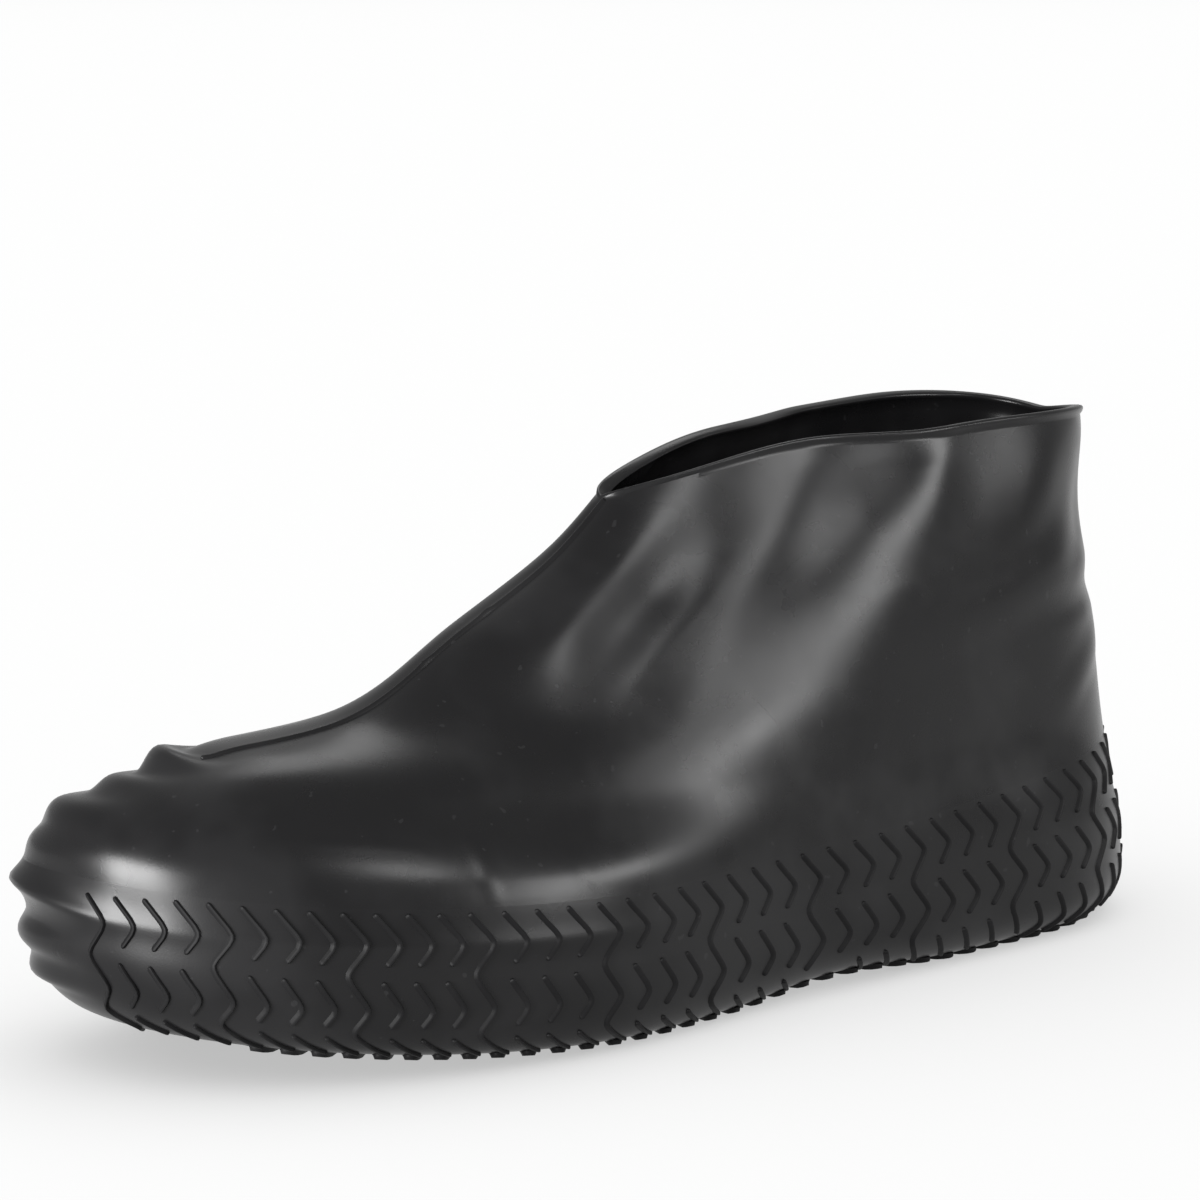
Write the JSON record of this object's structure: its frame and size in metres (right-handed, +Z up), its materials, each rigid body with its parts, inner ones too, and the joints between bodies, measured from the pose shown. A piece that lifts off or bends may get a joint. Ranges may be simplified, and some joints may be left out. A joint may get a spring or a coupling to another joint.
{
  "type": "overshoe",
  "caption": "Left rubber overshoe in its worn form: a thin stretch upper with a rolled collar bead, lapped into a treaded cup sole with chevron ribs, pulled on over a shoe in the wet.",
  "frame": {"origin": "middle of the shoe's box on the plane that the tread stands on", "axes": "+X towards the toe, +Y towards the outer side of the left foot, +Z up"},
  "size_m": [0.3234, 0.113, 0.1371],
  "materials": {
    "upper_rubber": "satin black natural rubber",
    "outsole_rubber": "satin black natural rubber, moulded tread"
  },
  "bodies": {
    "root": {"upper": "upper_rubber", "outsole": "outsole_rubber"}
  },
  "joints": []
}
